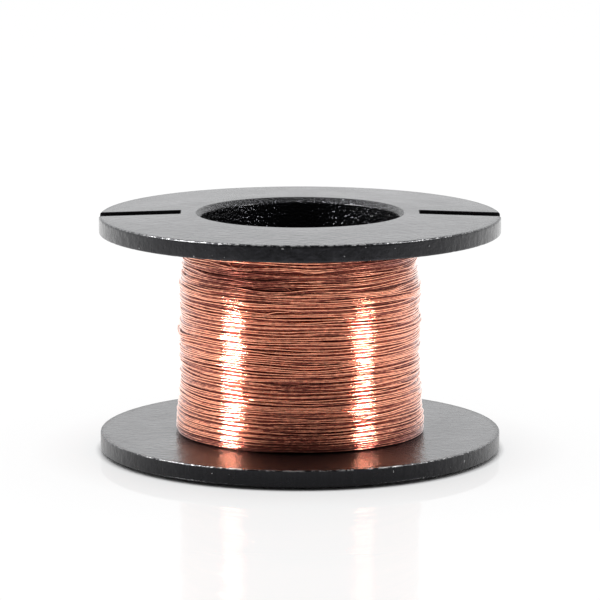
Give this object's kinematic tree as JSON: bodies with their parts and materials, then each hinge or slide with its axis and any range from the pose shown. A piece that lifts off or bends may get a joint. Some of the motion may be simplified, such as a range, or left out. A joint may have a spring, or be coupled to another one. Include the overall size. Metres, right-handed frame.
{
  "type": "wire spool",
  "caption": "Small black plastic spool with a through bore and wire slits in its upper flange, wound with fine enamelled copper wire.",
  "frame": {"origin": "on the spool's axis, at the face of the lower flange's hub, which the spool rests on", "axes": "+Z along the bore, from the lower flange to the slit upper flange; +X through one of the two slits"},
  "size_m": [0.034, 0.034, 0.0203],
  "materials": {
    "black_plastic": "fine moulded texture, satin",
    "enamelled_copper": "bright copper under clear enamel"
  },
  "bodies": {
    "root": {"lower_flange": "black_plastic", "barrel": "black_plastic", "upper_flange": "black_plastic", "wire_inner_layers": "enamelled_copper", "wire_outer_layer": "enamelled_copper"}
  },
  "joints": []
}
